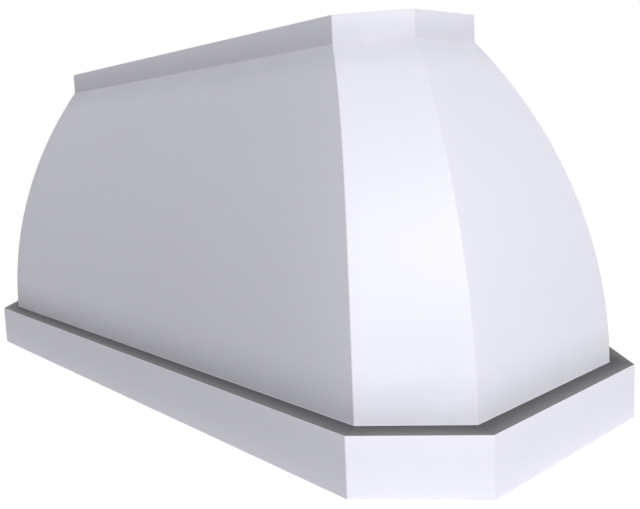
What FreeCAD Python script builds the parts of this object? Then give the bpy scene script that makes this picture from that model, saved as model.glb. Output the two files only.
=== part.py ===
"""Painted wooden cover for an island range hood.

A long octagon in plan: an upright apron, a level ledge, a body of eight curved panels that start
upright and lean in, and an upright collar that meets the ceiling. Millimetres, +Z up, +X along the
long front, +Y to the back. The origin is the middle of the plan, at the foot of the apron.
"""
import FreeCAD, Part
import math
import os

V = FreeCAD.Vector
UP = V(0, 0, 1)

# Apron: the upright band round the foot
APRON_LENGTH = 1371.6
APRON_DEPTH = 632.0
APRON_CLIP = 127.0          # leg of each corner clipped at 45 degrees
APRON_HEIGHT = 84.0
APRON_BOARD = 19.0

# Body: eight curved panels on the ledge
LEDGE = 31.5                # width of the step between apron face and panel foot
BODY_HEIGHT = 503.0
PANEL = 9.5                 # bent plywood
END_LEAN = 159.0            # how far the end panels lean in from foot to head
LONG_LEAN = 128.0           # and the front and back panels

# Collar: the upright band under the ceiling, flush with the top of the panels
COLLAR_CLIP = 83.0
COLLAR_HEIGHT = 41.5
COLLAR_BOARD = 19.0

# Decks: plywood boards inside apron and collar
BASE_DECK = 19.0
TOP_DECK = 19.0
BASE_MARGIN_END = 107.0     # deck left between apron and liner cut-out at the ends
BASE_MARGIN_LONG = 87.0     # and along the front and back
LINER_CORNER = 12.0
DUCT_HOLE = 210.0           # clears a round duct of 203 mm (8 in)
BOLT_SPACING_X = 610.0      # joists at 24 in centres
BOLT_SPACING_Y = 180.0
BOLT_HOLE = 9.0

# Ribs: planks on edge behind the panels
RIB_WIDTH = 38.0
RIB_THICKNESS = 19.0
LONG_RIB_SPACING = 360.0    # between the two ribs of the front, and of the back
HOUSING = 6.0               # slot in each deck that a rib end stands in

# Rails under the edge of the liner cut-out, which the flange of the liner is screwed to
RAIL_WIDTH = 38.0
RAIL_THICKNESS = 19.0

# Glue blocks in the corners of the apron
BLOCK_LEG = 45.0            # along each board
BLOCK_DEPTH = 12.0          # wood in front of the line between its two ends
BLOCK_HEIGHT = 40.0

# Hexagon-head wood screws up through the base deck, one into the foot of each hip rib
SCREW_LENGTH = 50.0         # under the head
SCREW_SHANK = 6.0
SCREW_FLATS = 10.0          # across the flats of the head
SCREW_HEAD_HEIGHT = 4.0

# Clearances
GLUE_LINE = 0.2             # between a rib and the panels and boards fixed to it
RIB_GAP = 5.0               # at least, between an end rib and the hip ribs on either side of it
SCREW_CLEARANCE = 0.15

# Levels
LEDGE_LEVEL = APRON_HEIGHT
BODY_TOP = LEDGE_LEVEL + BODY_HEIGHT
COLLAR_TOP = BODY_TOP + COLLAR_HEIGHT
BASE_UNDERSIDE = LEDGE_LEVEL - BASE_DECK
TOP_UNDERSIDE = COLLAR_TOP - TOP_DECK
RIB_FOOT = LEDGE_LEVEL - HOUSING
RIB_HEAD = TOP_UNDERSIDE + HOUSING

SIDES = ("front", "front_right", "right", "back_right", "back", "back_left", "left", "front_left")
LONG_SIDES = [SIDES.index(side) for side in ("front", "back")]
END_SIDES = [SIDES.index(side) for side in ("left", "right")]
TURN = 360.0 / len(SIDES)
OVERRUN = 5.0               # how far a cutting shape runs past what it cuts


class Octagon:
    """A rectangle with its four corners clipped at 45 degrees, centred on the origin."""

    def __init__(self, length, depth, clip):
        self.length, self.depth, self.clip = length, depth, clip

    def inset(self, by):
        """The outline at an even distance inside this one."""
        return Octagon(self.length - 2 * by, self.depth - 2 * by, self.clip - by * (2 - math.sqrt(2)))

    def corners(self, z):
        """Corner k is where side k starts, anticlockwise from the front."""
        x, y, c = self.length / 2, self.depth / 2, self.clip
        plan = ((c - x, -y), (x - c, -y), (x, c - y), (x, y - c),
                (x - c, y), (c - x, y), (-x, y - c), (-x, c - y))
        return [V(px, py, z) for px, py in plan]

    def reach(self, k):
        """Distance from the centre line out to side k."""
        start, end = self.corners(0)[k], self.corners(0)[(k + 1) % len(SIDES)]
        return outward(k).dot((start + end) / 2)

    def prism(self, z, height):
        return extrude(self.corners(z), UP * height)

    def board(self, k, thickness, z, height):
        """The board of side k, mitred to its two neighbours."""
        outer, inner = self.corners(z), self.inset(thickness).corners(z)
        after = (k + 1) % len(SIDES)
        return extrude([outer[k], outer[after], inner[after], inner[k]], UP * height)


def extrude(points, along):
    return Part.Face(Part.makePolygon(points + points[:1])).extrude(along)


def outward(k):
    """Level direction that side k faces."""
    angle = math.radians(TURN * k - 90)
    return V(math.cos(angle), math.sin(angle), 0)


def along(k):
    """Level direction along side k, anticlockwise."""
    return UP.cross(outward(k))


def arc_radius(run, rise):
    """Radius of an arc that starts upright and leans in by run over rise."""
    return (run ** 2 + rise ** 2) / (2 * run)


APRON = Octagon(APRON_LENGTH, APRON_DEPTH, APRON_CLIP)
FOOT = APRON.inset(LEDGE)
COLLAR = Octagon(FOOT.length - 2 * END_LEAN, FOOT.depth - 2 * LONG_LEAN, COLLAR_CLIP)
IN_APRON = APRON.inset(APRON_BOARD)
LINER_LENGTH = IN_APRON.length - 2 * BASE_MARGIN_END
LINER_DEPTH = IN_APRON.depth - 2 * BASE_MARGIN_LONG


def panel_reach(k, z, depth):
    """Distance from the centre line to panel k at level z, at a depth under its outer face."""
    radius = arc_radius(FOOT.reach(k) - COLLAR.reach(k), BODY_HEIGHT)
    return FOOT.reach(k) - radius + math.sqrt((radius - depth) ** 2 - (z - LEDGE_LEVEL) ** 2)


def hip_point(k, z, depth):
    """Where panels k and k + 1 cross at level z, at a depth under their outer faces."""
    turn = math.radians(TURN)
    here, there = panel_reach(k, z, depth), panel_reach((k + 1) % len(SIDES), z, depth)
    return outward(k) * here + along(k) * ((there - here * math.cos(turn)) / math.sin(turn)) + UP * z


def panel_arc(k, depth, low, high):
    """The curve of panel k in the upright plane through the centre, from low to high."""
    levels = (low, (low + high) / 2, high)
    points = [outward(k) * panel_reach(k, z, depth) + UP * z for z in levels]
    return Part.Arc(*points).toShape(), points[0], points[-1]


def mitre(k):
    """Face of the joint between panels k and k + 1, from outside both to inside both."""
    low, high = LEDGE_LEVEL - OVERRUN, BODY_TOP + OVERRUN
    steps = 8
    edges = []
    for depth in (-OVERRUN, PANEL + OVERRUN):
        curve = Part.BSplineCurve()
        curve.interpolate([hip_point(k, low + (high - low) * n / steps, depth) for n in range(steps + 1)])
        edges.append(curve.toShape())
    return Part.makeRuledSurface(*edges)


def panel(k):
    """Bent sheet k, level at foot and head and mitred along both hips."""
    outer, outer_foot, outer_head = panel_arc(k, 0, LEDGE_LEVEL, BODY_TOP)
    inner, inner_foot, inner_head = panel_arc(k, PANEL, LEDGE_LEVEL, BODY_TOP)
    foot = Part.makeLine(outer_foot, inner_foot)
    head = Part.makeLine(outer_head, inner_head)
    profile = Part.Face(Part.Wire(Part.__sortEdges__([outer, head, inner, foot])))
    span = along(k) * APRON_LENGTH
    profile.translate(span / -2)
    sheet = profile.extrude(span)
    return sheet.cut([mitre(k).extrude(span), mitre(k - 1).extrude(span * -1)])


def room_for_ribs():
    """The space that the ribs are sawn to: upright in the base deck, inside the panels, inside the collar."""
    depth = PANEL + GLUE_LINE
    in_deck = FOOT.inset(depth).prism(RIB_FOOT, HOUSING)
    in_collar = COLLAR.inset(COLLAR_BOARD + GLUE_LINE).prism(BODY_TOP, RIB_HEAD - BODY_TOP)
    inside = None
    for k in range(len(SIDES) // 2):
        facing = k + len(SIDES) // 2
        near, near_foot, near_head = panel_arc(k, depth, LEDGE_LEVEL, BODY_TOP)
        far, far_foot, far_head = panel_arc(facing, depth, LEDGE_LEVEL, BODY_TOP)
        floor, roof = Part.makeLine(near_foot, far_foot), Part.makeLine(near_head, far_head)
        profile = Part.Face(Part.Wire(Part.__sortEdges__([near, roof, far, floor])))
        span = along(k) * APRON_LENGTH
        profile.translate(span / -2)
        vault = profile.extrude(span)
        inside = vault if inside is None else inside.common(vault)
    return inside.fuse([in_deck, in_collar])


def rib(foot, head, room):
    """Plank on edge whose outer edge follows the panels from foot, on the ledge, to head, at their top."""
    lean = V(head.x - foot.x, head.y - foot.y, 0)
    inward = V(lean).normalize()
    radius = arc_radius(lean.Length, BODY_HEIGHT)

    def inner_edge(rise):
        inset = radius - math.sqrt((radius - RIB_WIDTH) ** 2 - rise ** 2)
        return foot + inward * inset + UP * rise

    height = RIB_HEAD - LEDGE_LEVEL
    in_deck = UP * -HOUSING
    outside = foot - inward * RIB_THICKNESS
    edges = [Part.Arc(inner_edge(0), inner_edge(height / 2), inner_edge(height)).toShape(),
             Part.makeLine(inner_edge(height), outside + UP * height),
             Part.makeLine(outside + UP * height, outside + in_deck),
             Part.makeLine(outside + in_deck, inner_edge(0) + in_deck),
             Part.makeLine(inner_edge(0) + in_deck, inner_edge(0))]
    blank = Part.Face(Part.Wire(edges))
    across = UP.cross(inward) * RIB_THICKNESS
    blank.translate(across / -2)
    return blank.extrude(across).common(room)


def under_foot(plank):
    """Point on the underside of the base deck below the middle of a rib's foot."""
    foot = min(plank.Faces, key=lambda face: face.CenterOfMass.z).CenterOfMass
    return V(foot.x, foot.y, BASE_UNDERSIDE)


def screw(place):
    """Hexagon-head screw driven up from its place."""
    corner_reach = SCREW_FLATS / math.sqrt(3)
    hexagon = [place + V(math.cos(turn), math.sin(turn), 0) * corner_reach
               for turn in (math.radians(60 * n) for n in range(6))]
    head = extrude(hexagon, UP * -SCREW_HEAD_HEIGHT)
    return head.fuse(Part.makeCylinder(SCREW_SHANK / 2, SCREW_LENGTH, place, UP))


def screw_hole(place):
    radius, length = SCREW_SHANK / 2 + SCREW_CLEARANCE, SCREW_LENGTH + SCREW_CLEARANCE
    return Part.makeCylinder(radius, length, place, UP)


def centred_box(length, depth, height, z):
    return Part.makeBox(length, depth, height, V(-length / 2, -depth / 2, z))


def base_deck():
    """Ring inside the apron, flush with its top edge, that the panels and ribs stand on."""
    deck = IN_APRON.prism(BASE_UNDERSIDE, BASE_DECK)
    cut = centred_box(LINER_LENGTH, LINER_DEPTH, BASE_DECK + 2 * OVERRUN, BASE_UNDERSIDE - OVERRUN)
    upright = [edge for edge in cut.Edges if abs(edge.tangentAt(edge.FirstParameter).z) > 0.5]
    return deck.cut(cut.makeFillet(LINER_CORNER, upright))


def top_deck():
    """Board inside the collar, flush with its top edge, with the duct hole and ceiling bolt holes."""
    deck = COLLAR.inset(COLLAR_BOARD).prism(TOP_UNDERSIDE, TOP_DECK)
    tall = TOP_DECK + 2 * OVERRUN
    holes = [Part.makeCylinder(DUCT_HOLE / 2, tall, V(0, 0, TOP_UNDERSIDE - OVERRUN))]
    for x in (-BOLT_SPACING_X / 2, BOLT_SPACING_X / 2):
        for y in (-BOLT_SPACING_Y / 2, BOLT_SPACING_Y / 2):
            holes.append(Part.makeCylinder(BOLT_HOLE / 2, tall, V(x, y, TOP_UNDERSIDE - OVERRUN)))
    return deck.cut(holes)


def rail(k):
    """Rail under the deck along side k of the liner cut-out: the end rails fit between the long ones."""
    z = BASE_UNDERSIDE - RAIL_THICKNESS
    if k in LONG_SIDES:
        board = centred_box(LINER_LENGTH + 2 * RAIL_WIDTH, RAIL_WIDTH, RAIL_THICKNESS, z)
        edge = LINER_DEPTH / 2
    else:
        board = centred_box(RAIL_WIDTH, LINER_DEPTH, RAIL_THICKNESS, z)
        edge = LINER_LENGTH / 2
    board.translate(outward(k) * (edge + RAIL_WIDTH / 2))
    return board


def corner_block(k):
    """Glue block under the deck, in the corner of the apron where side k starts."""
    corner = IN_APRON.corners(BASE_UNDERSIDE - BLOCK_HEIGHT)[k]
    before, after = corner - along(k - 1) * BLOCK_LEG, corner + along(k) * BLOCK_LEG
    inward = (outward(k - 1) + outward(k)).normalize() * -BLOCK_DEPTH
    return extrude([corner, after, after + inward, before + inward, before], UP * BLOCK_HEIGHT)


def upright_ribs(room):
    """Ribs square to their panels by name: two in the front and in the back, one at each end."""
    planks = {}
    depth = PANEL + GLUE_LINE
    for k in LONG_SIDES + END_SIDES:
        foot = outward(k) * panel_reach(k, LEDGE_LEVEL, depth) + UP * LEDGE_LEVEL
        head = outward(k) * panel_reach(k, BODY_TOP, depth)
        places = {"": 0}
        if k in LONG_SIDES:
            places = {"_left": -LONG_RIB_SPACING / 2, "_right": LONG_RIB_SPACING / 2}
        for suffix, x in places.items():
            planks["rib_" + SIDES[k] + suffix] = rib(foot + V(x, 0, 0), head + V(x, 0, 0), room)
    return planks


def hip_ribs(room):
    """A rib under each hip, by name, sawn off where it would come too near an end rib."""
    planks = {}
    depth = PANEL + GLUE_LINE
    kept_free = centred_box(APRON_LENGTH, RIB_THICKNESS + 2 * RIB_GAP, COLLAR_TOP, 0)
    for k, side in enumerate(SIDES):
        plank = rib(hip_point(k, LEDGE_LEVEL, depth), hip_point(k, BODY_TOP, depth), room)
        name = "hip_rib_" + side + "_to_" + SIDES[(k + 1) % len(SIDES)]
        planks[name] = max(plank.cut(kept_free).Solids, key=lambda piece: piece.Volume)
    return planks


def build():
    nodes = {}
    for k, side in enumerate(SIDES):
        nodes["apron_" + side] = APRON.board(k, APRON_BOARD, 0, APRON_HEIGHT)
        nodes["panel_" + side] = panel(k)
        nodes["collar_" + side] = COLLAR.board(k, COLLAR_BOARD, BODY_TOP, COLLAR_HEIGHT)
        nodes["apron_block_" + SIDES[k - 1] + "_to_" + side] = corner_block(k)
    for k in LONG_SIDES + END_SIDES:
        nodes["liner_rail_" + SIDES[k]] = rail(k)

    room = room_for_ribs()
    uprights, hips = upright_ribs(room), hip_ribs(room)
    places = [under_foot(plank) for plank in hips.values()]
    holes = [screw_hole(place) for place in places]
    housings = list(uprights.values()) + list(hips.values())
    nodes.update(uprights)
    nodes.update({name: plank.cut(holes) for name, plank in hips.items()})
    nodes["base_deck"] = base_deck().cut(housings + holes)
    nodes["top_deck"] = top_deck().cut(housings)
    nodes["hip_rib_screws"] = Part.makeCompound([screw(place) for place in places])
    return nodes


os.makedirs("parts", exist_ok=True)
for name, shape in build().items():
    shape.exportStep("parts/" + name + ".step")
    print(name, len(shape.Solids), round(shape.Volume / 1000, 1), "cm3", shape.isValid())
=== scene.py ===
"""Looks of the painted wooden cover for an island range hood, in metres, round its CAD model."""

import math

import bmesh
import bpy
from mathutils import Euler, Matrix, Vector


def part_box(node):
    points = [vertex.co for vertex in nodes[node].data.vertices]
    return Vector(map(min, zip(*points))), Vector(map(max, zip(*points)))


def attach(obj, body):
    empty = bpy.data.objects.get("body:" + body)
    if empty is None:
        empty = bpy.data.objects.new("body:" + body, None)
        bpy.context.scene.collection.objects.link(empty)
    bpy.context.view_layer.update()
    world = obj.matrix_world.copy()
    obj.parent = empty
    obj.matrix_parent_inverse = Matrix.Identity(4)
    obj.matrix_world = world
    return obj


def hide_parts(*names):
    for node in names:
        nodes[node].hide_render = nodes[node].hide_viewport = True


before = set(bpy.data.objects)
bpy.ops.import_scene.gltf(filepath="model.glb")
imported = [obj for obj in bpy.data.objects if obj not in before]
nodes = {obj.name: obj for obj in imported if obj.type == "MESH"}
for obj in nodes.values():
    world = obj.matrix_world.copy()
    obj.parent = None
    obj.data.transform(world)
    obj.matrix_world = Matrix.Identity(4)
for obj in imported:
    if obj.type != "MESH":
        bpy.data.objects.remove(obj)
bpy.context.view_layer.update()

# ------------------------------------------------------------------------------------------------
# Apron: eight boards of 19 mm pine set upright in a long octagon and glued at filled, sanded mitres.
# Their arrises are eased by hand and their faces sprayed with an off-white satin enamel; the backs
# stay bare. The ledge that their tops are part of is greyed with painted shade.
# ------------------------------------------------------------------------------------------------
SIDES = ("front", "front_right", "right", "back_right", "back", "back_left", "left", "front_left")
TURN = 2 * math.pi / len(SIDES)
APRON_BOARD = 0.019
ARRIS = 0.0015              # radius of a sanded arris
JOINT_EASE = 0.0001         # hairline where a board meets the deck behind it
MITRE_ROUND = 0.0030        # radius of a corner sanded over a filled mitre
LEDGE_WIDTH = 0.0315
SMOOTH_TO = math.radians(32)                # faces that meet at less are shaded as one

ENAMEL = (0.800, 0.800, 0.890, 1)
ENAMEL_THIN = (0.784, 0.783, 0.870, 1)
# painted shade: the grey that the level ledge is painted, for the little light it gets
LEDGE_SHADE_GREY = (0.272, 0.275, 0.281, 1)
DEEP_SHADE_GREY = (0.110, 0.111, 0.118, 1)        # painted shade, darkest on the ledge where it meets the foot of the panels
SHADE_RISE = 0.0025          # the painted shade of the ledge runs up onto the filler at the foot of the panels too
FOOT_SHADE, FOOT_REACH = 0.24, 0.075         # painted shade greying the panels' feet, fading up them
HOLLOW_SHADE, HOLLOW_REACH = 0.16, 0.055     # and painted shade in the hollow between panels and collar
PINE = (0.700, 0.500, 0.290, 1)
PINE_LATE = (0.430, 0.250, 0.110, 1)        # the dark late wood of each year
PINE_YEAR = 0.0032                          # a year's growth


class Wire:
    """One socket of a node tree: sums on wires add Math nodes, and node() adds any other kind."""

    def __init__(self, tree, socket=None):
        self.tree, self.socket = tree, socket

    def node(self, kind, settings=None, sockets=None, output=0):
        """A new node: its settings go in first, then a value or a wire for each socket named."""
        made = self.tree.nodes.new(kind)
        for key, value in (settings or {}).items():
            setattr(made, key, value)
        for key, value in (sockets or {}).items():
            if isinstance(value, Wire):
                self.tree.links.new(value.socket, pick(made.inputs, key))
            else:
                pick(made.inputs, key).default_value = value
        return Wire(self.tree, pick(made.outputs, output) if made.outputs else None)

    def out(self, name):
        """Another output of this wire's node."""
        return Wire(self.tree, pick(self.socket.node.outputs, name))

    def math(self, operation, *values):
        return self.node("ShaderNodeMath", {"operation": operation}, dict(enumerate(values)))

    def vector(self, operation, *values, output=0):
        sockets = dict(enumerate(values))
        return self.node("ShaderNodeVectorMath", {"operation": operation}, sockets, output)

    def dot(self, direction):
        """How far this place or direction reaches along a fixed one."""
        return self.vector("DOT_PRODUCT", self, tuple(direction), output="Value")

    def ramp(self, low, high):
        """0 up to low, 1 from high on, and smooth between."""
        return self.node("ShaderNodeMapRange", {"interpolation_type": "SMOOTHSTEP"},
                         {"Value": self, "From Min": low, "From Max": high})

    def mix(self, first, second):
        """A colour from first to second, with this wire as the share of the second."""
        return self.node("ShaderNodeMix", {"data_type": "RGBA"},
                         {"Factor_Float": self, "A_Color": first, "B_Color": second}, "Result_Color")

    def noise(self, scale, detail=2.0, distortion=0.0):
        """Smooth noise about 0.5 with scale waves in a metre."""
        return self.node("ShaderNodeTexNoise", {}, {
            "Vector": self, "Scale": scale, "Detail": detail, "Distortion": distortion})

    def stretched(self, run, across, slow, fast):
        """This place, measured in slow waves along run and in fast ones beside it."""
        beside = Vector(run).cross(Vector(across))
        return self.node("ShaderNodeCombineXYZ", {}, {
            "X": self.dot(run) * slow, "Y": self.dot(beside) * fast, "Z": self.dot(across) * fast})

    def __add__(self, other):
        return self.math("ADD", self, other)

    def __sub__(self, other):
        return self.math("SUBTRACT", self, other)

    def __rsub__(self, other):
        return self.math("SUBTRACT", other, self)

    def __mul__(self, other):
        return self.math("MULTIPLY", self, other)

    def __truediv__(self, other):
        return self.math("DIVIDE", self, other)

    def __gt__(self, other):
        return self.math("GREATER_THAN", self, other)

    def __lt__(self, other):
        return self.math("LESS_THAN", self, other)

    __radd__, __rmul__ = __add__, __mul__


def pick(sockets, key):
    """A socket by its number, name or identifier."""
    if isinstance(key, int):
        return sockets[key]
    return next(socket for socket in sockets if key in (socket.identifier, socket.name))


def finish(name, surface):
    """A material whose Principled inputs are what surface returns for the wire it starts from."""
    made = bpy.data.materials.new(name)
    made.use_nodes = True
    made.node_tree.nodes.clear()
    start = Wire(made.node_tree)
    shader = start.node("ShaderNodeBsdfPrincipled", {}, surface(start))
    start.node("ShaderNodeOutputMaterial", {}, {"Surface": shader})
    return made


def outward(k):
    """Level direction that side k faces."""
    return Vector((math.sin(TURN * k), -math.cos(TURN * k), 0))


def along(k):
    """Level direction along side k, anticlockwise seen from above."""
    return Vector((math.cos(TURN * k), math.sin(TURN * k), 0))


def reaches(group):
    """How far out the eight faces of the apron, the panels' feet or the collar lie."""
    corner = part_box(group + "_back")[1]
    end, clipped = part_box(group + "_right")[1].x, (corner.x + corner.y) / math.sqrt(2)
    return [(corner.y, clipped, end, clipped)[k % 4] for k in range(len(SIDES))]


def half_side(here, there):
    """From the middle of a side to its corner, from its own reach and its neighbour's."""
    return (there - here * math.cos(TURN)) / math.sin(TURN)


def painted_shade_masks(start, place):
    """(painted shade on the ledge, the panels' feet and under the collar; darker painted shade at the foot
    of the panels; distance out from the panels' feet) at a place.
    """
    reach = reaches("panel")
    spot = start.node("ShaderNodeSeparateXYZ", {}, {"Vector": place})
    x, y, z = spot.math("ABSOLUTE", spot), spot.math("ABSOLUTE", spot.out("Y")), spot.out("Z")
    clipped = (x + y) / math.sqrt(2) - reach[1]
    out = start.math("MAXIMUM", start.math("MAXIMUM", x - reach[2], y - reach[0]), clipped)
    level = start.node("ShaderNodeNewGeometry", output="Normal").dot((0, 0, 1))
    patch, rise = place.noise(14.0, 3.0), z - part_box("base_deck")[1].z
    # painted shade: the level ledge greyed in random patches, and the filler just above it too
    painted_shade = level.ramp(0.65, 0.92) * (rise < SHADE_RISE) * patch.ramp(-1.0, 0.3)
    # painted shade, darker on the ledge next to the panels' feet
    deep_shade = painted_shade * (1 - out.ramp(0.0, LEDGE_WIDTH)) * patch.ramp(-0.3, 0.5)
    # painted shade on the panels' feet, fading upward
    foot = (1 - rise.ramp(0.0, FOOT_REACH)) * (rise > JOINT_EASE) * FOOT_SHADE
    # painted shade round the hollow between panels and collar
    from_hollow = start.math("ABSOLUTE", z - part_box("collar_front")[0].z)
    hollow = (1 - from_hollow.ramp(0.0, HOLLOW_REACH)) * HOLLOW_SHADE
    return painted_shade + (foot + hollow) * (1 - painted_shade) * patch.ramp(0.0, 0.5), deep_shade, out


def enamel(k):
    """Enamel over wood with its grain along side k: fine orange peel, a trace of the grain, and painted
    shade on the ledge, the panels' feet and under the collar.
    """
    def surface(start):
        place = start.node("ShaderNodeTexCoord", output="Object")
        # painted shade greys the enamel on the ledge, the panels' feet and the hollow under the collar
        painted_shade, deep_shade, _ = painted_shade_masks(start, place)
        grain = place.stretched(along(k), outward(k), 6.0, 260.0).noise(1.0, 3.0)
        peel, sag = place.noise(420.0, 1.5), place.noise(4.0, 1.0)
        coat = (sag * 0.5 + grain * 0.5).ramp(0.38, 0.75).mix(ENAMEL, ENAMEL_THIN)
        height = peel * 0.7 + grain * 0.5 + sag * 4.0
        return {"Base Color": deep_shade.mix(painted_shade.mix(coat, LEDGE_SHADE_GREY), DEEP_SHADE_GREY),
                "Roughness": 0.38 + peel * 0.10 + painted_shade * 0.50,
                "Specular IOR Level": 0.18,
                "Normal": start.node("ShaderNodeBump", {}, {
                    "Strength": 0.6, "Distance": 0.00003, "Height": height})}

    return finish("enamel_" + SIDES[k], surface)


def pine(name, grain, heart):
    """Sawn pine: growth rings about the heart of the log, and fine fibres along the grain."""
    def surface(start):
        place = start.node("ShaderNodeTexCoord", output="Object")
        from_heart = start.vector("SUBTRACT", place, tuple(heart))
        radius = start.vector("LENGTH", start.vector("CROSS_PRODUCT", from_heart, tuple(grain)),
                              output="Value")
        across = grain.orthogonal().normalized()
        wander = place.stretched(grain, across, 2.5, 12.0).noise(1.0, 2.0) * 0.014
        year = start.math("FRACT", (radius + wander) / PINE_YEAR)
        late = year.ramp(0.45, 0.92) * (1 - year.ramp(0.93, 1.0))
        fibre = place.stretched(grain, across, 30.0, 900.0).noise(1.0, 2.0)
        wood = (late * 0.75 + fibre * 0.3).mix(PINE, PINE_LATE)
        return {"Base Color": wood, "Roughness": 0.62 + fibre * 0.2,
                "Normal": start.node("ShaderNodeBump", {}, {
                    "Strength": 0.7, "Distance": 0.0002, "Height": fibre * 0.7 + late * 0.5})}

    return finish("pine_" + name, surface)


def left_bare(mesh, bare, *facing):
    """Leaves the faces of a board that look in any of these directions without paint."""
    mesh.materials.append(bare)
    for face in mesh.polygons:
        if any(face.normal.dot(direction) > 0.7 for direction in facing):
            face.material_index = 1


def board_pine(node, k):
    """Pine with its grain along side k, sawn from above the heart of the log."""
    low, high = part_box(node)
    return pine(node, along(k), (low + high) / 2 + outward(k) * 0.02 - Vector((0, 0, 0.09)))


def seated(name, mesh, slot, *replaced):
    """Puts a finished mesh on the body and hides the CAD nodes that it stands for; slot is not used."""
    mesh.shade_smooth()
    mesh.set_sharp_from_angle(angle=SMOOTH_TO)
    piece = bpy.data.objects.new(name, mesh)
    bpy.context.scene.collection.objects.link(piece)
    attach(piece, "root")
    if replaced:
        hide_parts(*replaced)
    return piece


def lofted(shells, material, endless=False):
    """A mesh of closed shells, each a run of rings of points that are joined in turn and capped, or
    joined end to start where it is endless."""
    mesh, shape = bpy.data.meshes.new("lofted"), bmesh.new()
    for rings in shells:
        rows = [[shape.verts.new(point) for point in ring] for ring in rings]
        for row, following in zip(rows, rows[1:] + rows[:1] if endless else rows[1:]):
            for n in range(len(row)):
                after = (n + 1) % len(row)
                shape.faces.new((row[n], row[after], following[after], following[n]))
        if not endless:
            shape.faces.new(rows[0][::-1])
            shape.faces.new(rows[-1])
    bmesh.ops.recalc_face_normals(shape, faces=shape.faces)
    shape.to_mesh(mesh)
    shape.free()
    mesh.materials.append(material)
    return mesh


def eased_section(low, high, thickness, eases, steps=4):
    """A board's section as (depth from its face, level) points. Its corners are eased by these
    radii: at the foot and head of the face, then at the head and foot of the back."""
    corners = ((0, low), (0, high), (thickness, high), (thickness, low))
    points = []
    for n, ((depth, level), radius) in enumerate(zip(corners, eases)):
        middle = (depth + math.copysign(radius, thickness / 2 - depth),
                  level + math.copysign(radius, (low + high) / 2 - level))
        for step in range(steps + 1):
            angle = -math.pi / 2 * (1 + n + step / steps)
            points.append((middle[0] + radius * math.cos(angle), middle[1] + radius * math.sin(angle)))
    return points


def mitred(reach, k, section, rounding=MITRE_ROUND, steps=4):
    """Rings of a board along side k, from mitre to mitre, with both its corners sanded round."""
    back_off = rounding * math.tan(TURN / 2)
    rings = []
    for end, there in ((-1, reach[k - 1]), (1, reach[(k + 1) % len(SIDES)])):
        columns = []
        for step in range(steps + 1):
            turn = step / steps * TURN / 2
            ring = []
            for depth, level in section:
                rounded = max(rounding - depth, 0) / rounding
                inset = rounded * rounding * (1 - math.cos(turn))
                from_corner = (rounded * (back_off - rounding * math.sin(turn))
                               + (1 - rounded) * back_off * (1 - step / steps))
                run = end * (half_side(reach[k] - depth, there - depth) - from_corner)
                ring.append(outward(k) * (reach[k] - depth - inset) + along(k) * run
                            + Vector((0, 0, level)))
            columns.append(ring)
        rings += columns if end > 0 else columns[::-1]
    return rings


enamels = [enamel(k) for k in range(len(SIDES) // 2)]
for k, side in enumerate(SIDES):
    low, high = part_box("apron_" + side)
    section = eased_section(low.z, high.z, APRON_BOARD, (ARRIS, ARRIS, JOINT_EASE, ARRIS / 2))
    board = lofted([mitred(reaches("apron"), k, section)], enamels[k % 4])
    left_bare(board, board_pine("apron_" + side, k), -outward(k))
    seated("painted_apron_" + side, board, "painted_wood", "apron_" + side)

# ------------------------------------------------------------------------------------------------
# Corner blocks: short lengths of sawn pine glued into the corners of the apron, under the deck.
# They square the mitres while the glue sets. Their grain stands upright, and they stay bare.
# ------------------------------------------------------------------------------------------------
SAWN_EASE = 0.0006
SAME_PLACE = 1e-6           # points of the CAD mesh nearer than this are one
SAME_PLANE = math.radians(0.5)
SHARP = math.radians(30)


def eased_copy(node, ease):
    """The CAD node's mesh, merged into flat faces, with its sharp edges eased."""
    mesh, shape = bpy.data.meshes.new(node), bmesh.new()
    shape.from_mesh(nodes[node].data)
    bmesh.ops.remove_doubles(shape, verts=shape.verts, dist=SAME_PLACE)
    bmesh.ops.dissolve_limit(shape, angle_limit=SAME_PLANE, verts=shape.verts, edges=shape.edges)
    sharp = [edge for edge in shape.edges if edge.calc_face_angle(0) > SHARP]
    if ease:
        bmesh.ops.bevel(shape, geom=sharp, offset=ease, segments=2, profile=0.5, affect="EDGES",
                        clamp_overlap=True)
    shape.to_mesh(mesh)
    shape.free()
    mesh.attributes.remove(mesh.attributes["custom_normal"])
    mesh.materials.clear()
    return mesh


def wooden(node, material, slot, ease=SAWN_EASE):
    """A piece with the CAD node's own shape, sharp edges eased."""
    mesh = eased_copy(node, ease)
    mesh.materials.append(material)
    return seated("sawn_" + node, mesh, slot, node)


for k, side in enumerate(SIDES):
    node = "apron_block_" + SIDES[k - 1] + "_to_" + side
    low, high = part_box(node)
    heart = (low + high) / 2 + outward(k) * 0.06 + along(k) * 0.03
    wooden(node, pine(node, Vector((0, 0, 1)), heart), "bare_wood")

# ------------------------------------------------------------------------------------------------
# Base deck: a ring of 19 mm birch plywood glued inside the apron, flush with its top edge. The
# strip outside the panels is the rest of the ledge and is painted with it; inside and underneath
# it is bare, and its plies show round the cut-out for the liner.
# ------------------------------------------------------------------------------------------------
BIRCH = (0.720, 0.540, 0.335, 1)
BIRCH_DARK = (0.560, 0.385, 0.215, 1)
BIRCH_PORE = (0.330, 0.195, 0.095, 1)
GLUE_LINE = (0.160, 0.085, 0.040, 1)
PLY = 0.00146                               # thickness of one ply


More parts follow.
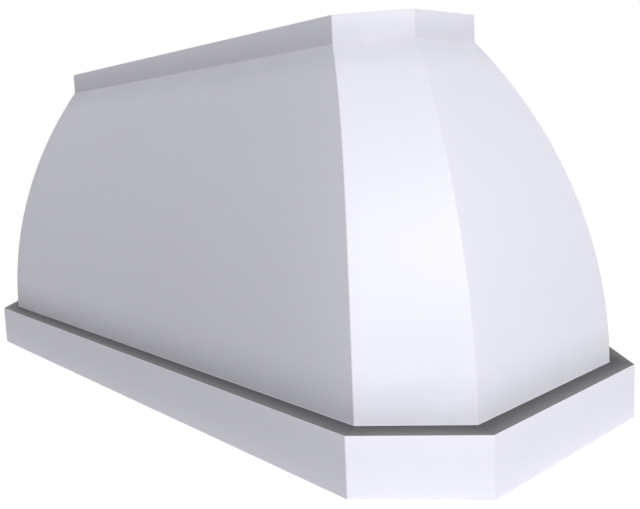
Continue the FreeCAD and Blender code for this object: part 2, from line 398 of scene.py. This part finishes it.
def birch(start, place, grain, sheet):
    """(colour, fibre height) of birch plywood: rotary-cut veneer on its faces, plies on its edges."""
    figure = place.stretched(grain, sheet, 2.2, 15.0).noise(1.0, 4.0, 0.8)
    fibre = place.stretched(grain, sheet, 25.0, 700.0).noise(1.0, 2.0)
    pore = place.stretched(grain, sheet, 90.0, 430.0).noise(1.0, 1.0).ramp(0.66, 0.76)
    veneer = (figure * 0.65 + fibre * 0.35).ramp(0.38, 0.66).mix(BIRCH, BIRCH_DARK)
    veneer = (pore * 0.45).mix(veneer, BIRCH_PORE)
    depth = place.dot(sheet) / PLY
    crossed = start.math("FRACT", depth / 2) > 0.5
    off_middle = start.math("ABSOLUTE", start.math("FRACT", depth) - 0.5)
    plies = (crossed * (0.55 + fibre * 0.3)).mix(BIRCH, BIRCH_DARK)
    plies = off_middle.ramp(0.40, 0.47).mix(plies, GLUE_LINE)
    facing = start.math("ABSOLUTE", start.node("ShaderNodeNewGeometry", output="Normal").dot(sheet))
    return facing.ramp(0.55, 0.75).mix(plies, veneer), fibre


def plywood(name, grain, sheet):
    """Bare sanded birch plywood with its face grain along grain, and its plies stacked along sheet."""
    def surface(start):
        place = start.node("ShaderNodeTexCoord", output="Object")
        colour, fibre = birch(start, place, grain, sheet)
        return {"Base Color": colour, "Roughness": 0.55 + fibre * 0.25, "Specular IOR Level": 0.35,
                "Normal": start.node("ShaderNodeBump", {}, {
                    "Strength": 0.5, "Distance": 0.0001, "Height": fibre})}

    return finish("plywood_" + name, surface)


def ledge_plywood(start):
    place = start.node("ShaderNodeTexCoord", output="Object")
    bare, fibre = birch(start, place, Vector((1, 0, 0)), Vector((0, 0, 1)))
    # painted shade greys the painted ledge strip, darker at the foot of the panels
    painted_shade, deep_shade, out = painted_shade_masks(start, place)
    upward = start.node("ShaderNodeNewGeometry", output="Normal").dot((0, 0, 1)) > 0.5
    painted = upward * (out > -0.0004)
    coat = deep_shade.mix(painted_shade.mix(ENAMEL, LEDGE_SHADE_GREY), DEEP_SHADE_GREY)
    return {"Base Color": painted.mix(bare, coat), "Roughness": 0.60 + painted * 0.25 + fibre * 0.1,
            "Specular IOR Level": 0.35,
            "Normal": start.node("ShaderNodeBump", {}, {
                "Strength": 0.5, "Distance": 0.0001, "Height": fibre * (1 - painted)})}


nodes["base_deck"].material_slots[0].material = finish("plywood_base_deck", ledge_plywood)

# ------------------------------------------------------------------------------------------------
# Liner rails: four lengths of planed pine screwed up under the edge of the cut-out. The flange of
# the steel liner with the fan, which isn't part of the cover, is screwed to them.
# ------------------------------------------------------------------------------------------------
for k in range(0, len(SIDES), 2):
    node = "liner_rail_" + SIDES[k]
    low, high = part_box(node)
    heart = (low + high) / 2 + outward(k) * 0.07 - Vector((0, 0, 0.05))
    wooden(node, pine(node, along(k), heart), "bare_wood")

# ------------------------------------------------------------------------------------------------
# Ribs: fourteen curved ribs sawn from 19 mm birch plywood. Their feet stand in slots in the base
# deck and their heads in slots in the top deck. The eight under the hips are bevelled both ways.
# ------------------------------------------------------------------------------------------------
UPWARD = Vector((0, 0, 1))
END_FACE = 1e-4             # points this near a rib's lowest or highest are on its end


def rib_ends(node):
    """The middles of a rib's foot and head, and the level direction in which it leans."""
    points = [vertex.co for vertex in nodes[node].data.vertices]
    low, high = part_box(node)
    foot = [point for point in points if point.z < low.z + END_FACE]
    head = [point for point in points if point.z > high.z - END_FACE]
    foot, head = (sum(group, Vector()) / len(group) for group in (foot, head))
    return foot, head, (head - foot).to_2d().to_3d().normalized()


ribs = sorted(name for name in nodes if name.startswith(("rib_", "hip_rib_")) and "screws" not in name)
for node in ribs:
    lean = rib_ends(node)[2]
    wooden(node, plywood(node, UPWARD, lean.cross(UPWARD)), "plywood", SAWN_EASE / 2)

# ------------------------------------------------------------------------------------------------
# Top deck: a board of 19 mm birch plywood that the collar will wrap, bored for the duct and for
# the four bolts that hang the cover from the joists. Countersunk screws go down into the ribs.
# ------------------------------------------------------------------------------------------------
SINK_RADIUS = 0.0046
SINK_DEPTH = 0.0036
SINK_START = 0.001          # the cutting cones start this far above the deck
BESIDE_MIDDLE = 0.011       # of the two screws in a rib's head, from its middle


def circle(radius, z, sides=24):
    """A level ring of points."""
    turns = [2 * math.pi * n / sides for n in range(sides)]
    return [Vector((radius * math.cos(turn), radius * math.sin(turn), z)) for turn in turns]


deck_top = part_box("top_deck")[1].z
deck_screws = []
for node in ribs:
    _, head, lean = rib_ends(node)
    for offset in (-BESIDE_MIDDLE, BESIDE_MIDDLE):
        deck_screws.append(Vector((head.x, head.y, deck_top)) + lean * offset)

deck = bpy.data.objects.new("deck_blank", eased_copy("top_deck", 0))
cone = circle(SINK_RADIUS + SINK_START, SINK_START), circle(SINK_RADIUS - SINK_DEPTH, -SINK_DEPTH)
sinks = bpy.data.objects.new("sinks", lofted(
    [[[place + point for point in ring] for ring in cone] for place in deck_screws], None))
for blank in (deck, sinks):
    bpy.context.scene.collection.objects.link(blank)
cut = deck.modifiers.new("countersinks", "BOOLEAN")
cut.operation, cut.solver, cut.object = "DIFFERENCE", "EXACT", sinks
deck_mesh = bpy.data.meshes.new_from_object(deck.evaluated_get(bpy.context.evaluated_depsgraph_get()))
for blank in (deck, sinks):
    bpy.data.objects.remove(blank)
deck_mesh.materials.clear()
deck_mesh.materials.append(plywood("top_deck", Vector((1, 0, 0)), UPWARD))
seated("bored_top_deck", deck_mesh, "plywood", "top_deck")

# ------------------------------------------------------------------------------------------------
# Screws: zinc-plated hexagon-head wood screws go up through the base deck into the foot of each
# hip rib, and small countersunk ones hold the rails, the blocks and the top deck.
# ------------------------------------------------------------------------------------------------
HEX_FLATS, HEX_HEAD, HEX_SHANK, HEX_LENGTH = 0.010, 0.004, 0.003, 0.050
SUNK_HEAD, SUNK_SHANK, SUNK_LENGTH = 0.0040, 0.0019, 0.035
HEX_TOP, HEX_CHAMFER, HEX_WASHER = 0.92, 0.82, 0.9      # the head's flat top, sides and seat, as shares
CROSS_HALF_WIDTH, CROSS_REACH, CROSS_DEPTH = 0.00045, 0.0021, 0.0011
THREAD_PITCH = 0.0025
PLAIN_SHANK, THREAD_ROOT = 0.82, 0.66       # of the thread's radius
THREADED = 0.6              # of the shank's length; a third is plain, and the rest is the point
TIP = 0.0003
SEAT_GAP = 0.0002           # between a head's seat and the first ring above or below it
ZINC = (0.560, 0.570, 0.590, 1)
ZINC_WARM = (0.620, 0.570, 0.430, 1)        # the yellowish bloom of the passivated plating


def zinc(start):
    place = start.node("ShaderNodeTexCoord", output="Object")
    bloom, smear = place.noise(160.0, 2.0), place.noise(900.0, 2.0)
    return {"Base Color": bloom.ramp(0.40, 0.75).mix(ZINC, ZINC_WARM), "Metallic": 1.0,
            "Roughness": 0.24 + smear * 0.25,
            "Normal": start.node("ShaderNodeBump", {}, {
                "Strength": 0.4, "Distance": 0.00003, "Height": smear})}


def threaded(radius, start, length, sides):
    """Rings of a screw's shank down from start: plain for a third, then threaded, then a point."""
    rings = [circle(radius * PLAIN_SHANK, level, sides) for level in (start, start - length / 3)]
    for n in range(int(length * THREADED / THREAD_PITCH)):
        level = start - length / 3 - n * THREAD_PITCH
        rings += [circle(radius, level - THREAD_PITCH * 0.3, sides),
                  circle(radius * THREAD_ROOT, level - THREAD_PITCH * 0.8, sides)]
    return rings + [circle(TIP, start - length, sides)]


def hex_screw():
    """Head above its seat at 0, shank below, as rings."""
    sides = 12
    hexagon = [point if n % 2 == 0 else point * math.cos(math.pi / 6)
               for n, point in enumerate(circle(HEX_FLATS / math.sqrt(3), 0, sides))]
    flats = [[point + Vector((0, 0, level)) for point in hexagon]
             for level in (HEX_HEAD * HEX_CHAMFER, SEAT_GAP)]
    return [circle(HEX_FLATS / 2 * HEX_TOP, HEX_HEAD, sides), *flats,
            circle(HEX_FLATS / 2 * HEX_WASHER, 0, sides),
            *threaded(HEX_SHANK, -SEAT_GAP / 2, HEX_LENGTH - SEAT_GAP, sides)]


def sunk_screw():
    """Flush head with a cross recess, cone and threaded shank, as rings."""
    sides, wide, far = 16, CROSS_HALF_WIDTH, CROSS_REACH
    cross = []
    for quarter in range(4):
        turn = Matrix.Rotation(quarter * math.pi / 2, 3, "Z")
        cross += [turn @ Vector((x, y, 0)) for x, y in ((far, 0), (far, wide), (wide, wide), (wide, far))]
    floor = [point * 0.6 - Vector((0, 0, CROSS_DEPTH)) for point in cross]
    cone = SUNK_HEAD * 0.7
    return [floor, cross, circle(SUNK_HEAD * 0.86, 0, sides), circle(SUNK_HEAD, -SEAT_GAP, sides),
            *threaded(SUNK_SHANK, -cone, SUNK_LENGTH - cone, sides)]


def size_tree(name, sizes):
    """An empty Geometry Nodes tree with a named input for each size, and wires from them."""
    tree = bpy.data.node_groups.new(name, "GeometryNodeTree")
    tree.interface.new_socket("Geometry", in_out="INPUT", socket_type="NodeSocketGeometry")
    tree.interface.new_socket("Geometry", in_out="OUTPUT", socket_type="NodeSocketGeometry")
    for size, kind in sizes.items():
        tree.interface.new_socket(size, in_out="INPUT", socket_type="NodeSocket" + kind)
    start = Wire(tree)
    given = start.node("NodeGroupInput")
    return tree, start, {size: given.out(size) for size in ("Geometry", *sizes)}


def grown(tree, sizes, ground=None):
    """The plain mesh that a tree makes from these sizes."""
    holder = bpy.data.objects.new("holder", ground or bpy.data.meshes.new("ground"))
    bpy.context.scene.collection.objects.link(holder)
    modifier = holder.modifiers.new("tree", "NODES")
    modifier.node_group = tree
    for socket in tree.interface.items_tree:
        if socket.in_out == "INPUT" and socket.name in sizes:
            modifier[socket.identifier] = sizes[socket.name]
    mesh = bpy.data.meshes.new_from_object(holder.evaluated_get(bpy.context.evaluated_depsgraph_get()))
    bpy.data.objects.remove(holder)
    return mesh


screw_tree, start, given = size_tree("driven_screws", {
    "Screw": "Object", "Seed": "Int", "Metal": "Material"})
aim = start.node("GeometryNodeInputNamedAttribute", {"data_type": "FLOAT_VECTOR"}, {"Name": "aim"})
upright = start.node("FunctionNodeAlignRotationToVector", {"axis": "Z"}, {"Vector": aim})
spin = start.node("FunctionNodeRandomValue", {"data_type": "FLOAT"},
                  {"Min_001": 0.0, "Max_001": 2 * math.pi, "Seed": given["Seed"]}, "Value_001")
about = start.node("FunctionNodeAxisAngleToRotation", {}, {"Axis": (0, 0, 1), "Angle": spin})
turned = start.node("FunctionNodeRotateRotation", {"rotation_space": "LOCAL"},
                    {"Rotation": upright, "Rotate By": about})
screw = start.node("GeometryNodeObjectInfo", {}, {"Object": given["Screw"]}, "Geometry")
driven = start.node("GeometryNodeInstanceOnPoints", {},
                    {"Points": given["Geometry"], "Instance": screw, "Rotation": turned})
real = start.node("GeometryNodeRealizeInstances", {}, {"Geometry": driven})
plated = start.node("GeometryNodeSetMaterial", {}, {"Geometry": real, "Material": given["Metal"]})
start.node("NodeGroupOutput", {}, {"Geometry": plated})


def screws(name, rings, places, seed, *replaced):
    """One piece of like screws, each at a place with its head facing aim."""
    ground = bpy.data.meshes.new("places")
    ground.from_pydata([place for place, _ in places], [], [])
    aims = ground.attributes.new("aim", "FLOAT_VECTOR", "POINT")
    aims.data.foreach_set("vector", [value for _, direction in places for value in direction])
    pattern = bpy.data.objects.new("pattern", lofted([rings], None))
    bpy.context.scene.collection.objects.link(pattern)
    mesh = grown(screw_tree, {"Screw": pattern, "Seed": seed, "Metal": plating}, ground)
    bpy.data.objects.remove(pattern)
    seated(name, mesh, "screw_steel", *replaced)


plating = finish("zinc_plating", zinc)
DOWN = Vector((0, 0, -1))
deck_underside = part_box("base_deck")[0].z
feet = []
for node in ribs:
    if node.startswith("hip_"):
        foot = rib_ends(node)[0]
        feet.append((Vector((foot.x, foot.y, deck_underside)), DOWN))
screws("hex_screws", hex_screw(), feet, 3, "hip_rib_screws")

RAIL_SCREWS = {"front": 6, "back": 6, "left": 3, "right": 3}
PROUD = 0.0001              # how far their heads stand out of the rails and blocks
SUNK_IN = 0.0005            # and lie below the top deck
small = []
for side, count in RAIL_SCREWS.items():
    low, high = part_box("liner_rail_" + side)
    middle, run = (low + high) / 2, along(SIDES.index(side))
    length = abs((high - low).dot(run))
    for n in range(count):
        place = middle + run * length * ((n + 0.5) / count - 0.5)
        small.append((Vector((place.x, place.y, low.z - PROUD)), DOWN))
for k, side in enumerate(SIDES):
    low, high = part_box("apron_block_" + SIDES[k - 1] + "_to_" + side)
    small.append((Vector(((low.x + high.x) / 2, (low.y + high.y) / 2, low.z - PROUD)), DOWN))
small += [(place - UPWARD * SUNK_IN, UPWARD) for place in deck_screws]
screws("countersunk_screws", sunk_screw(), small, 8)

# ------------------------------------------------------------------------------------------------
# Panels: eight sheets of 9.5 mm bending plywood, upright where they stand on the ledge and curved
# in on a circular arc to the collar. Neighbours meet in a curved mitre over each hip rib, which is
# filled and sanded over before the enamel goes on. Their backs stay bare.
# ------------------------------------------------------------------------------------------------
PANEL = 0.0095
HIP_ROUND = 0.0030
PANEL_ROWS, HIP_COLUMNS, FLAT_COLUMNS = 57, 4, 8

panel_tree, start, given = size_tree("bent_panel", {
    "Level": "Float", "Height": "Float", "Sheet": "Float", "Rounding": "Float", "Facing": "Float",
    "Foot": "Float", "Lean": "Float", "Foot before": "Float", "Lean before": "Float",
    "Foot after": "Float", "Lean after": "Float", "Enamel": "Material", "Birch": "Material"})
blank = start.node("GeometryNodeMeshCube", {}, {
    "Size": (2, 1, 1), "Vertices X": 2 * HIP_COLUMNS + FLAT_COLUMNS + 1, "Vertices Y": 2,
    "Vertices Z": PANEL_ROWS})
spot = start.node("ShaderNodeSeparateXYZ", {}, {"Vector": start.node("GeometryNodeInputPosition")})
span, inner, share = spot, spot.out("Y") + 0.5, spot.out("Z") + 0.5
height, sheet = given["Height"], given["Sheet"]


def arc_radius(lean):
    """Radius of an arc that starts upright and leans in by lean over the panel's height."""
    return (lean * lean + height * height) / (2 * lean)


radius = arc_radius(given["Lean"])
rise = start.math("SINE", start.math("ARCSINE", height / radius) * share) * radius


def reach_at(foot, lean):
    """How far out a panel lies at this rise, on its face or its back."""
    within = arc_radius(lean) - inner * sheet
    return foot - arc_radius(lean) + start.math("SQRT", within * within - rise * rise)


here = reach_at(given["Foot"], given["Lean"])
hip_before, hip_after = ((reach_at(given["Foot " + way], given["Lean " + way]) - here * math.cos(TURN))
                         / math.sin(TURN) for way in ("before", "after"))
flat = FLAT_COLUMNS / (FLAT_COLUMNS + 2 * HIP_COLUMNS)
flat_share = start.node("ShaderNodeMapRange", {}, {"Value": span, "From Min": -flat, "From Max": flat})
hip_share = start.math("MAXIMUM", (start.math("ABSOLUTE", span) - flat) / (1 - flat), 0.0)
turn = hip_share * (TURN / 2)
rounding = given["Rounding"]
back_off = rounding * math.tan(TURN / 2)
rounded = (1 - inner) * rounding * start.math("SINE", turn) + inner * hip_share * back_off
run = (flat_share * (hip_before + hip_after - 2 * back_off) - hip_before + back_off
       + rounded * start.math("SIGN", span))
inset = (1 - inner) * rounding * (1 - start.math("COSINE", turn))
bent = start.node("ShaderNodeCombineXYZ", {}, {"X": run, "Y": inset - here, "Z": given["Level"] + rise})
turned = start.node("ShaderNodeVectorRotate", {"rotation_type": "Z_AXIS"},
                    {"Vector": bent, "Angle": given["Facing"]})
kept = start.node("GeometryNodeStoreNamedAttribute", {"data_type": "FLOAT", "domain": "FACE"},
                  {"Geometry": blank, "Name": "inner", "Value": inner})
shaped = start.node("GeometryNodeSetPosition", {}, {"Geometry": kept, "Position": turned})
real = start.node("GeometryNodeRealizeInstances", {}, {"Geometry": shaped})
painted = start.node("GeometryNodeSetMaterial", {}, {"Geometry": real, "Material": given["Enamel"]})
behind = start.node("GeometryNodeInputNamedAttribute", {"data_type": "FLOAT"}, {"Name": "inner"}) > 0.25
backed = start.node("GeometryNodeSetMaterial", {}, {
    "Geometry": painted, "Material": given["Birch"], "Selection": behind})
start.node("NodeGroupOutput", {}, {"Geometry": backed})

foot_reach, head_reach = reaches("panel"), reaches("collar")
for k, side in enumerate(SIDES):
    low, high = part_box("panel_" + side)
    before, after = k - 1, (k + 1) % len(SIDES)
    mesh = grown(panel_tree, {
        "Level": low.z, "Height": high.z - low.z, "Sheet": PANEL, "Rounding": HIP_ROUND,
        "Facing": TURN * k, "Foot": foot_reach[k], "Lean": foot_reach[k] - head_reach[k],
        "Foot before": foot_reach[before], "Lean before": foot_reach[before] - head_reach[before],
        "Foot after": foot_reach[after], "Lean after": foot_reach[after] - head_reach[after],
        "Enamel": enamels[k % 4], "Birch": plywood("panel_" + side, along(k), outward(k))})
    seated("bent_panel_" + side, mesh, "painted_wood", "panel_" + side)

# ------------------------------------------------------------------------------------------------
# Filler bead: painter's filler run along the foot of the panels with a fingertip, to close the joint
# with the ledge, and painted over with them.
# ------------------------------------------------------------------------------------------------
BEAD = 0.0015
BEAD_IN, BEAD_DOWN = 0.0003, 0.0001         # into the joint, and into the ledge
BEAD_STEPS = 5
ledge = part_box("base_deck")[1].z
hollow = [(-BEAD * (1 - math.sin(turn)), ledge + BEAD * (1 - math.cos(turn)))
          for turn in (math.pi / 2 * n / BEAD_STEPS for n in range(BEAD_STEPS + 1))]
bead_section = [(BEAD_IN, ledge - BEAD_DOWN), (-BEAD, ledge - BEAD_DOWN), *hollow, (BEAD_IN, ledge + BEAD)]
bead_rings = [ring for k in range(len(SIDES)) for ring in mitred(foot_reach, k, bead_section)[:-1]]
seated("filler_bead", lofted([bead_rings], enamels[0], endless=True), "painted_wood")

# ------------------------------------------------------------------------------------------------
# Collar: eight mitred boards of 19 mm pine round the edge of the top deck, flush with the head of
# the panels. They finish against the ceiling, and are painted where they show from outside.
# ------------------------------------------------------------------------------------------------
COLLAR_BOARD = 0.019
for k, side in enumerate(SIDES):
    low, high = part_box("collar_" + side)
    section = eased_section(low.z, high.z, COLLAR_BOARD, (JOINT_EASE, ARRIS, JOINT_EASE, JOINT_EASE))
    board = lofted([mitred(head_reach, k, section)], enamels[k % 4])
    left_bare(board, board_pine("collar_" + side, k), -outward(k), -UPWARD)
    seated("painted_collar_" + side, board, "painted_wood", "collar_" + side)

# ------------------------------------------------------------------------------------------------
# Studio: a pale floor and surround that the camera sees as white. A broad distant lamp stands on the
# right, a faint soft box beside the camera, a lamp behind on the left so that the back isn't dark, and
# one under the floor, which lets it through, so that the inside can be seen from beneath.
# ------------------------------------------------------------------------------------------------
FLOOR_HALF = 14.0
FLOOR_LEVEL = -0.0005
FLOOR_PAINT = (0.50, 0.50, 0.50, 1)
WHITE = (1, 1, 1, 1)
SURROUND_LIGHT = 0.02
CAMERA_WHITE = 0.75         # the camera sees this share of glow in the floor, and the rest as paint
FLOOR_GLOW = 1.28           # together they come to white where no shadow falls
LAMPS = {                   # azimuth, elevation and width in degrees, and level on a face turned to it
    "key": (65, 26, 25, 0.89),
    "fill": (238, 8, 30, 0.56),
    "beneath": (0, -90, 10, 0.85)}
BOX_TURN = (math.radians(82), 0, math.radians(50))
BOX_DISTANCE, BOX_WIDTH, BOX_POWER = 0.9, 0.4, 1.3
LENS = 41.49
SHIFT = (0.1439, -0.0465)   # of the frame, off the middle of the lens
CAMERA_PLACE = (1.1743, -0.9578, 0.4540)
CAMERA_DOWN, CAMERA_AZIMUTH, CAMERA_ROLL = (math.radians(angle) for angle in (6.39, 52.209, -3.192))

stage_mesh = bpy.data.meshes.new("floor")
stage_mesh.from_pydata([(-FLOOR_HALF, -FLOOR_HALF, FLOOR_LEVEL), (FLOOR_HALF, -FLOOR_HALF, FLOOR_LEVEL),
                        (FLOOR_HALF, FLOOR_HALF, FLOOR_LEVEL), (-FLOOR_HALF, FLOOR_HALF, FLOOR_LEVEL)],
                       [], [(0, 1, 2, 3)])
floor = bpy.data.objects.new("floor", stage_mesh)
bpy.context.scene.collection.objects.link(floor)


def seen_white(start):
    """1 for rays from the camera, from glossy faces and through glass."""
    rays = start.node("ShaderNodeLightPath", output="Is Camera Ray")
    return start.math("MAXIMUM", rays, start.math("MAXIMUM", rays.out("Is Glossy Ray"),
                                                  rays.out("Is Transmission Ray")))


floor_paint = bpy.data.materials.new("floor_paint")
floor_paint.use_nodes = True
floor_paint.node_tree.nodes.clear()
start = Wire(floor_paint.node_tree)
paint = start.node("ShaderNodeBsdfDiffuse", {}, {"Color": FLOOR_PAINT})
glow = start.node("ShaderNodeEmission", {}, {"Color": WHITE, "Strength": FLOOR_GLOW})
shown = start.node("ShaderNodeMixShader", {}, {
    "Fac": seen_white(start) * CAMERA_WHITE, 1: paint, 2: glow})
rays = start.node("ShaderNodeLightPath", output="Is Camera Ray")
beneath = rays * start.node("ShaderNodeNewGeometry", output="Backfacing")
open_below = start.node("ShaderNodeMixShader", {}, {
    "Fac": start.math("MAXIMUM", beneath, rays.out("Is Shadow Ray")), 1: shown,
    2: start.node("ShaderNodeBsdfTransparent")})
start.node("ShaderNodeOutputMaterial", {}, {"Surface": open_below})
stage_mesh.materials.append(floor_paint)

world = bpy.data.worlds.new("surround")
bpy.context.scene.world = world
world.use_nodes = True
world.node_tree.nodes.clear()
start = Wire(world.node_tree)
dim = start.node("ShaderNodeBackground", {}, {"Color": WHITE, "Strength": SURROUND_LIGHT})
bright = start.node("ShaderNodeBackground", {}, {"Color": WHITE, "Strength": 1.0})
start.node("ShaderNodeOutputWorld", {}, {"Surface": start.node("ShaderNodeMixShader", {}, {
    "Fac": seen_white(start), 1: dim, 2: bright})})

for name, (azimuth, elevation, width, level) in LAMPS.items():
    light = bpy.data.lights.new(name, "SUN")
    light.angle, light.energy = math.radians(width), level * math.pi
    lamp = bpy.data.objects.new(name, light)
    lamp.rotation_euler = (math.radians(90 - elevation), 0, math.radians(azimuth))
    bpy.context.scene.collection.objects.link(lamp)

soft_light = bpy.data.lights.new("soft_box", "AREA")
soft_light.size, soft_light.energy = BOX_WIDTH, BOX_POWER
soft_box = bpy.data.objects.new("soft_box", soft_light)
corner = (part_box("panel_front_right")[0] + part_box("panel_front_right")[1]) / 2
soft_box.location = corner + Euler(BOX_TURN).to_matrix() @ Vector((0, 0, BOX_DISTANCE))
soft_box.rotation_euler = BOX_TURN
soft_box.visible_camera = False
bpy.context.scene.collection.objects.link(soft_box)

camera = bpy.data.objects.new("camera", bpy.data.cameras.new("camera"))
bpy.context.scene.collection.objects.link(camera)
bpy.context.scene.camera = camera
camera.data.lens = LENS
camera.data.shift_x, camera.data.shift_y = SHIFT
camera.location = CAMERA_PLACE
aimed = Euler((math.pi / 2 - CAMERA_DOWN, 0, CAMERA_AZIMUTH)).to_matrix()
camera.rotation_euler = (aimed @ Matrix.Rotation(CAMERA_ROLL, 3, "Z")).to_euler()
bpy.context.scene.view_settings.view_transform = "Standard"

bpy.context.view_layer.update()
